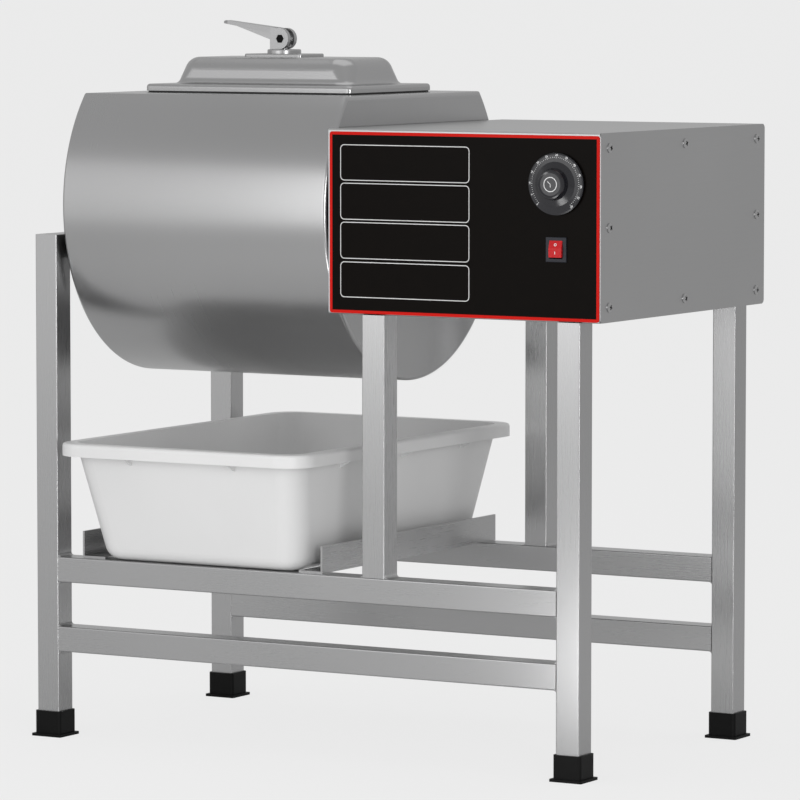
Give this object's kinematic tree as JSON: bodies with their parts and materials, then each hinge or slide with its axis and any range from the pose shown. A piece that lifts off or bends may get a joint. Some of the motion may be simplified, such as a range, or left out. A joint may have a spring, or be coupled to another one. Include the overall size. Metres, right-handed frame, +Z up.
{
  "type": "meat tumbler",
  "caption": "Horizontal stainless drum tumbler on a square-tube stand, with a cam-clamped hatch, a drive and control box with timer dial and rocker switch, and a slide-out catch basin",
  "frame": {"origin": "on the floor, under the middle of the overall footprint", "axes": "+Z up, +X to the right seen from the control side, +Y to the back"},
  "size_m": [0.966, 0.66, 1.0752],
  "materials": {
    "satin_steel": "satin stainless steel, lightly brushed",
    "bright_steel": "bright machined or cast stainless steel",
    "black_plastic": "moulded black plastic",
    "grey_plastic": "light grey moulded can",
    "cast_housing": "painted cast iron with a machined inner ring",
    "painted_motor": "grey machine paint",
    "reducer_aluminium": "cast aluminium, bead blasted",
    "dark_rubber": "soft food-grade seal",
    "panel_film": "printed film, black field with a red border and white outlines",
    "red_plastic": "red rocker",
    "white_plastic": "white moulded polypropylene"
  },
  "bodies": {
    "frame": {"front_left_leg": "satin_steel", "back_left_leg": "satin_steel", "front_right_leg": "satin_steel", "back_right_leg": "satin_steel", "front_left_foot": "black_plastic", "back_left_foot": "black_plastic", "front_right_foot": "black_plastic", "back_right_foot": "black_plastic", "front_lower_rail": "satin_steel", "back_lower_rail": "satin_steel", "front_upper_rail": "satin_steel", "back_upper_rail": "satin_steel", "front_middle_post": "satin_steel", "back_middle_post": "satin_steel", "front_upright": "satin_steel", "back_upright": "satin_steel", "left_cross_tube": "satin_steel", "box_cross_tube": "satin_steel", "left_guide": "satin_steel", "right_guide": "satin_steel", "left_bearing": "cast_housing", "right_bearing": "cast_housing", "bearing_bolts": "bright_steel", "box_shell": "satin_steel", "side_plate": "satin_steel", "cover_screws": "bright_steel", "front_panel": "panel_film", "timer_body": "black_plastic", "switch_housing": "black_plastic", "gear_reducer": "reducer_aluminium", "motor": "painted_motor", "motor_cowl": "painted_motor", "motor_terminal_box": "black_plastic", "reducer_stand": "painted_motor", "motor_capacitor": "grey_plastic", "cable_gland": "black_plastic"},
    "drum": {"drum_barrel": "satin_steel", "drum_left_cap": "satin_steel", "drum_right_cap": "satin_steel", "baffle_1": "satin_steel", "baffle_2": "satin_steel", "baffle_3": "satin_steel", "left_shaft": "bright_steel", "right_shaft": "bright_steel", "mouth_collar": "satin_steel", "mouth_bridge": "satin_steel", "output_sleeve": "bright_steel"},
    "lid": {"lid": "satin_steel", "lid_gasket": "dark_rubber", "clamp_plate": "bright_steel", "clamp_washer": "bright_steel", "clamp_rod": "bright_steel"},
    "lever": {"cam_lever": "bright_steel"},
    "knob": {"timer_knob": "black_plastic"},
    "rocker": {"switch_rocker": "red_plastic"},
    "basin": {"basin": "white_plastic"}
  },
  "joints": [
    {"name": "drum_spin", "type": "hinge", "parent": "frame", "child": "drum", "pos_m": [-0.1995, 0, 0.7999], "axis": [1, 0, 0], "continuous": true},
    {"name": "lid_lift", "type": "slide", "parent": "drum", "child": "lid", "axis": [0, 0, 1], "range_m": [0, 0.12]},
    {"name": "lever_cam", "type": "hinge", "parent": "lid", "child": "lever", "pos_m": [-0.1995, 0, 1.0479], "axis": [0, 1, 0], "range_deg": [0, 85]},
    {"name": "timer_turn", "type": "hinge", "parent": "frame", "child": "knob", "pos_m": [0.411, -0.2618, 0.8505], "axis": [0, 1, 0], "range_deg": [0, 300]},
    {"name": "power_rock", "type": "hinge", "parent": "frame", "child": "rocker", "pos_m": [0.41, -0.2568, 0.7577], "axis": [1, 0, 0], "range_deg": [0, 14]},
    {"name": "basin_slide", "type": "slide", "parent": "frame", "child": "basin", "axis": [0, -1, 0], "range_m": [0, 0.24]}
  ]
}
